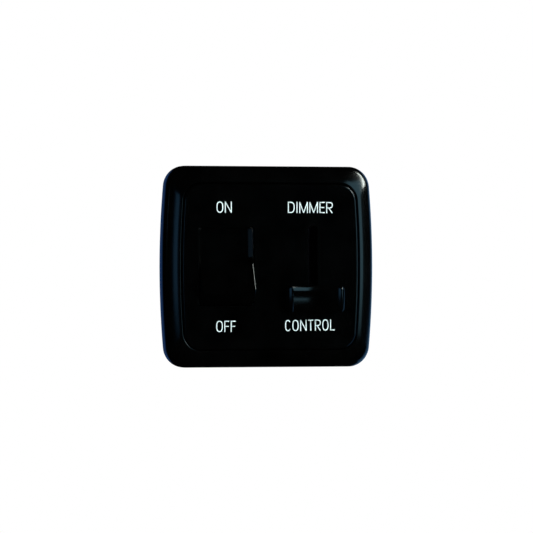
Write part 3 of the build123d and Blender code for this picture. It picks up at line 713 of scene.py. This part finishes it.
def strokesOf(g, letter, wide):  # middle lines of one letter's strokes, and if they are closed
    tall, pen = g["height"], g["stroke"]
    left, right, low, high = pen / 2, wide - pen / 2, pen / 2, tall - pen / 2
    stem, farStem = [(left, 0), (left, tall)], [(right, 0), (right, tall)]
    post = [(wide / 2, 0), (wide / 2, tall)]
    head, foot = [(left, high), (wide, high)], [(left, low), (wide, low)]
    bar = [(left, tall * g["bar"]), (wide * g["barReach"], tall * g["bar"])]
    tuck, bend, waist = pen * g["tuck"], wide * g["bend"], tall * g["waist"]

    def bowl(floor):
        turn = oval(g, 2 * bend - right, right, floor, high, 90, -90)
        return [(left, high)] + turn + [(left, floor)]

    strokes = {
        "I": [post],
        "L": [stem, foot],
        "T": [post, [(0, high), (wide, high)]],
        "F": [stem, head, bar],
        "E": [stem, head, bar, foot],
        "N": [stem, farStem, [(left, tall - tuck), (right, tuck)]],
        "M": [stem, farStem, [(left, tall - tuck), (wide / 2, tuck)],
              [(wide / 2, tuck), (right, tall - tuck)]],
        "O": [oval(g, left, right, low, high, 0, 360 - 360 / g["ovalSteps"])],
        "C": [oval(g, left, right, low, high, g["mouth"], 360 - g["mouth"])],
        "D": [stem, bowl(low)],
        "R": [stem, bowl(waist), [(bend, waist), (right, 0)]],
    }[letter]
    return [(line, letter == "O") for line in strokes]


def makeWord(g, text, x, z, width, turn):
    natural = sum(g["widths"][c] * g["height"] for c in text)
    squeeze = (width - g["gap"] * (len(text) - 1)) / natural
    layers = {}
    start = -width / 2
    for c in text:
        wide = g["widths"][c] * g["height"] * (squeeze if c != "I" else 1)
        for k, (line, closed) in enumerate(strokesOf(g, c, wide)):
            placed = [(start + a, b - g["height"] / 2) for a, b in line]
            layers.setdefault(k, []).append((placed, closed))
        start += wide + g["gap"]
    made = []
    for k, lines in layers.items():  # strokes that cross lie a hair apart
        curve = bpy.data.curves.new("legend" + text, "CURVE")
        curve.dimensions, curve.fill_mode = "2D", "NONE"
        curve.extrude = (g["ink"] / 2 + g["layerStep"] * k) * mm
        for line, closed in lines:
            spline = curve.splines.new("POLY")
            spline.points.add(len(line) - 1)
            for point, (a, b) in zip(spline.points, line):
                point.co = (a * mm, b * mm, 0, 1)
            spline.use_cyclic_u = closed
        piece = bpy.data.objects.new("legend" + text, curve)
        bpy.context.scene.collection.objects.link(piece)
        pick(piece)
        bpy.ops.object.convert(target="MESH")
        piece = bpy.context.object
        step = piece.modifiers.new("pen", "SOLIDIFY")
        pen = g["stroke"] * (g["inner"] if k > 1 else 1)  # slants and middle bars are finer
        step.thickness, step.offset, step.use_even_offset = pen * mm, 0, True
        bpy.ops.object.modifier_apply(modifier="pen")
        made.append(piece)
    pickNothing()
    for piece in made:
        piece.select_set(True)
    bpy.context.view_layer.objects.active = made[0]
    bpy.ops.object.join()
    piece = bpy.context.object
    piece.rotation_euler = (pi / 2, -radians(turn), 0)
    piece.location = (x * mm, -(g["level"] + g["ink"] / 2 - g["sink"]) * mm, z * mm)
    bpy.ops.object.transform_apply()
    bpy.ops.object.mode_set(mode="EDIT")
    bpy.ops.mesh.select_all(action="SELECT")
    bpy.ops.mesh.normals_make_consistent(inside=False)
    bpy.ops.object.mode_set(mode="OBJECT")
    return piece


for word in legend["words"]:
    piece = makeWord(legend, *word)
    settle(piece, "housing", "housing_abs", padInk)
    piece.visible_glossy = False  # the thin ink leaves no image in the gloss round it
print("legends:", len(legend["words"]))

# rear case: moulded box behind the wall, with screw recesses and blade slots

rearCase = {
    "width": 62.0, "height": 52.8, "corner": 3.0, "cornerSteps": 8,
    "edgeRound": 0.6, "edgeSteps": 4, "back": -26.33, "floor": -24.33, "top": 0.8,
    "roomWidth": 58.4, "roomHeight": 49.2,
    "screwX": 25.8, "screwZ": 21.2, "post": 3.9, "postTop": -15.13, "postRoot": 0.5,
    "hole": 1.35, "recess": 2.8, "recessDepth": 2.0, "bladePitch": 14.0, "bladeZ": -19.5,
    "bladeSlotWidth": 6.95, "bladeSlotHeight": 1.4,
}


def makeRearCase(c):
    piece = addBlock("rearCase", 0, 0, c["width"], c["height"], c["back"], c["top"])
    back, floor, width, height = c["back"], c["floor"], c["roomWidth"], c["roomHeight"]
    roundUpright(piece, c["corner"], c["cornerSteps"])
    roundLevel(piece, back, c["edgeRound"], c["edgeSteps"])
    carve(piece, addBlock("room", 0, 0, width, height, floor, c["top"] + overrun))
    corners = fourCorners(c["screwX"], c["screwZ"])
    for x, z in corners:
        post = addPin("post", x, z, c["post"], floor - c["postRoot"], c["postTop"])
        room = addBlock("room", 0, 0, width + 2 * overlap, height + 2 * overlap, floor - overrun, 0)
        carve(post, room, "INTERSECT")
        carve(piece, post, "UNION")
    for x, z in corners:
        carve(piece, addPin("hole", x, z, c["hole"], back - overrun, c["postTop"] + overrun))
        carve(piece, addPin("recess", x, z, c["recess"], back - overrun, back + c["recessDepth"]))
    for x in (-c["bladePitch"], 0, c["bladePitch"]):
        slot = addBlock("bladeSlot", x, c["bladeZ"], c["bladeSlotWidth"], c["bladeSlotHeight"],
                        back - overrun, floor + overrun)
        carve(piece, slot)
    smooth(piece)
    return piece


rearCasePiece = makeRearCase(rearCase)
settle(rearCasePiece, "housing", "cover_abs", grainAbs, "rear_cover")
print("rear case:", len(rearCasePiece.data.polygons), "faces")

# case screws: flat-bottomed heads with a soft crown and a cross recess, sunk in the rear case

caseScrew = {
    "x": 25.8, "z": 21.2, "headTop": -26.33, "headHeight": 2.0, "head": 2.5, "headSides": 64,
    "crown": 0.45, "crownSteps": 5, "shank": 1.25, "shankEnd": -5.78,
    "tipShare": 0.6, "tipSteps": 3, "crossLength": 3.5, "crossWidth": 0.8, "crossDepth": 1.0,
}


def makeScrews(s):
    top, under = s["headTop"], s["headTop"] + s["headHeight"]
    one = addPin("caseScrews", 0, 0, s["head"], top, under, s["headSides"])
    roundLevel(one, top, s["crown"], s["crownSteps"])
    for width, height in ((s["crossWidth"], s["crossLength"]), (s["crossLength"], s["crossWidth"])):
        carve(one, addBlock("cross", 0, 0, width, height, top - overrun, top + s["crossDepth"]))
    carve(one, addPin("shank", 0, 0, s["shank"], under - overlap, s["shankEnd"]), "UNION")
    roundLevel(one, s["shankEnd"], s["shank"] * s["tipShare"], s["tipSteps"])
    copies = []
    for x, z in fourCorners(s["x"], s["z"]):
        copy = one.copy()
        copy.data = one.data.copy()
        bpy.context.scene.collection.objects.link(copy)
        copy.location = (x * mm, 0, z * mm)
        copies.append(copy)
    bpy.data.objects.remove(one)
    pickNothing()
    for copy in copies:
        copy.select_set(True)
    bpy.context.view_layer.objects.active = copies[0]
    bpy.ops.object.transform_apply()
    bpy.ops.object.join()
    smooth(bpy.context.object)
    return bpy.context.object


caseScrews = makeScrews(caseScrew)
settle(caseScrews, "housing", "screw_steel", finishes["screw_steel"], "cover_screws")
print("case screws:", len(caseScrews.data.polygons), "faces")

# plunger spring: coil in the rocker's stem, for the plunger

plungerSpring = {
    "x": -16.5, "pivot": -1.4, "tilt": 15.0, "wire": 0.4, "coil": 1.35, "turns": 6,
    "start": -0.8, "end": 4.16, "press": 0.85, "wireSides": 14, "turnSteps": 28, "smoothAngle": 60,
}


def makeSpring(s):
    pickNothing()
    bpy.ops.mesh.primitive_circle_add(
        vertices=s["wireSides"], radius=s["wire"] / 2 * mm,
        location=(s["coil"] * mm, 0, 0), rotation=(pi / 2, 0, 0))
    bpy.ops.object.transform_apply()
    piece = bpy.context.object
    piece.name = "plungerSpring"
    rise = s["end"] - s["start"] - s["wire"]
    step = piece.modifiers.new("coil", "SCREW")
    step.steps = step.render_steps = s["turnSteps"]
    step.iterations, step.screw_offset = s["turns"], rise / s["turns"] * mm
    bpy.ops.object.modifier_apply(modifier="coil")
    bpy.ops.object.mode_set(mode="EDIT")
    for end in (0, rise):  # the wire is cut flat at both ends
        choose(piece, "EDGE",
               lambda e: e.is_boundary and abs(e.verts[0].co.z / mm - end) < s["wire"])
        bpy.ops.mesh.edge_face_add()
    bpy.ops.mesh.select_all(action="SELECT")
    bpy.ops.mesh.normals_make_consistent(inside=False)
    bpy.ops.object.mode_set(mode="OBJECT")
    lean = radians(s["tilt"])
    along = Vector((0, -cos(lean), sin(lean)))
    pivot = Vector((s["x"], -s["pivot"], 0))
    pick(piece)
    piece.rotation_euler = (pi / 2 - lean, 0, 0)
    piece.location = (pivot + along * (s["start"] + s["wire"] / 2)) * mm
    bpy.ops.object.transform_apply()
    smooth(piece, s["smoothAngle"], weighted=False)
    return piece, along, (pivot + along * s["end"]) * mm


springPiece, springAxis, springSeat = makeSpring(plungerSpring)
settle(springPiece, "rocker", "spring_steel", finishes["spring_steel"], "plunger_spring")
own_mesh(springPiece)
print("plunger spring:", len(springPiece.data.polygons), "faces")

# the pieces inside keep their solids and take a finish each

for entry in frame["record"]["subparts"]:
    node = frame["nodes"][entry["node"]]
    for place in node.material_slots:
        place.material = finishes[entry["material_slot"]]

# camera and light

shot = {
    "azimuth": -15.5, "distance": 1.4, "lens": 259.7, "aimRight": 0.43, "aimDown": -0.06,
    "nearest": 0.01, "farthest": 100,
}


def around(azimuth, elevation, distance):
    a, e = radians(azimuth), radians(elevation)
    return Vector((sin(a) * cos(e), -cos(a) * cos(e), sin(e))) * distance


bpy.ops.object.camera_add()
camera = bpy.context.object
aim = around(shot["azimuth"] + 90, 0, shot["aimRight"] * mm) - Vector((0, 0, shot["aimDown"] * mm))
camera.location = aim + around(shot["azimuth"], 0, shot["distance"])
camera.rotation_mode = "QUATERNION"
camera.rotation_quaternion = (aim - camera.location).to_track_quat("-Z", "Y")
camera.data.lens = shot["lens"]
camera.data.clip_start, camera.data.clip_end = shot["nearest"], shot["farthest"]
bpy.context.scene.camera = camera
bpy.context.scene.view_settings.view_transform = "Standard"

# Soft boxes: azimuth and elevation in degrees, distance and size in metres, brightness, tint
boxes = {
    "keyBox": (43, 12, 1.2, (0.62, 0.65), 1.25, "#A6E6FF"),
    "hotSpot": (64, 29, 1.2, (0.13, 0.6), 26.0, "#F4FFF8"),
    "backPanel": (122, -8, 1.3, (1.2, 2.2), 0.8, "#7CC0FF"),
    "sidePanel": (92, -26, 1.3, (0.7, 1.0), 0.6, "#7CC0FF"),
    "leftStrip": (-29.5, 2.5, 1.2, (0.27, 0.25), 0.7, "#7BC4FF"),
    "rimStrip": (-61, 5.7, 1.2, (0.17, 0.11), 0.25, "#9FD4FF"),
    "leftPanel": (-151, 0, 1.3, (1.27, 1.4), 0.32, "#619DFF"),
    "rearBox": (180, -14, 1.3, (2.4, 1.3), 1.1, "#F2F5FA"),
    "rearFill": (180, 30, 1.2, (1.0, 0.8), 5.0, "#F4F8FF"),
    "topFill": (0, 90, 1.3, (1.5, 1.5), 2.6, "#FAFCFF"),
    "frontFill": (30, -10, 0.9, (0.48, 0.48), 9.6, "#E9F8F7"),
}
for name, (azimuth, elevation, distance, size, glow, tint) in boxes.items():
    bpy.ops.object.light_add(type="AREA")
    lamp = bpy.context.object
    lamp.name = name
    lamp.location = around(azimuth, elevation, distance)
    lamp.rotation_mode = "QUATERNION"
    lamp.rotation_quaternion = (-lamp.location).to_track_quat("-Z", "Y")
    lamp.data.shape = "RECTANGLE"
    lamp.data.size, lamp.data.size_y = size
    lamp.data.energy = glow * pi * size[0] * size[1]
    lamp.data.color = linear(tint)[:3]
# These brighten dull surfaces and leave the gloss dark
for name in ("frontFill", "rearFill", "topFill"):
    bpy.data.objects[name].visible_glossy = False

# The box behind is kept to the pieces behind the wall, so it puts no edge of light on the front
rearPieces = bpy.data.collections.new("rearPieces")
blades = [frame["nodes"][name] for name in ("supply_blade", "lamp_blade", "ground_blade")]
for piece in (rearCasePiece, caseScrews, *blades):
    rearPieces.objects.link(piece)
bpy.data.objects["rearBox"].light_linking.receiver_collection = rearPieces

studio = {
    "dimTint": "#C8D4DC", "dim": 0.003, "floorRadius": 1.2, "floorSides": 96, "floorDrop": 0.3,
}

# White seen straight on, dim to everything the light bounces off
world = bpy.data.worlds.new("studio")
world.use_nodes = True
tree = world.node_tree
tree.nodes.clear()
path = addNode(tree, "ShaderNodeLightPath", {}, {})
dim = addNode(tree, "ShaderNodeBackground",
              {"Color": linear(studio["dimTint"]), "Strength": studio["dim"]}, {})
white = addNode(tree, "ShaderNodeBackground", {"Color": (1, 1, 1, 1), "Strength": 1.0}, {})
both = addNode(tree, "ShaderNodeMixShader", {}, {
    "Fac": path.outputs["Is Camera Ray"], 1: dim.outputs["Background"],
    2: white.outputs["Background"]})
addNode(tree, "ShaderNodeOutputWorld", {}, {"Surface": both.outputs["Shader"]})
bpy.context.scene.world = world

# Pale floor well below the plate, out of the picture
pickNothing()
bpy.ops.mesh.primitive_circle_add(
    vertices=studio["floorSides"], radius=studio["floorRadius"], fill_type="NGON",
    location=(0, 0, -studio["floorDrop"]))
bpy.ops.object.transform_apply()
floor = bpy.context.object
floor.name = "studioFloor"
paper = drifting("palePaper", ("#E4E4E2", "#E7E7E5"), (0.82, 0.88), 25, 2, 0.02)
floor.data.materials.append(paper)
floor.visible_glossy = floor.visible_shadow = False
print("studio set")
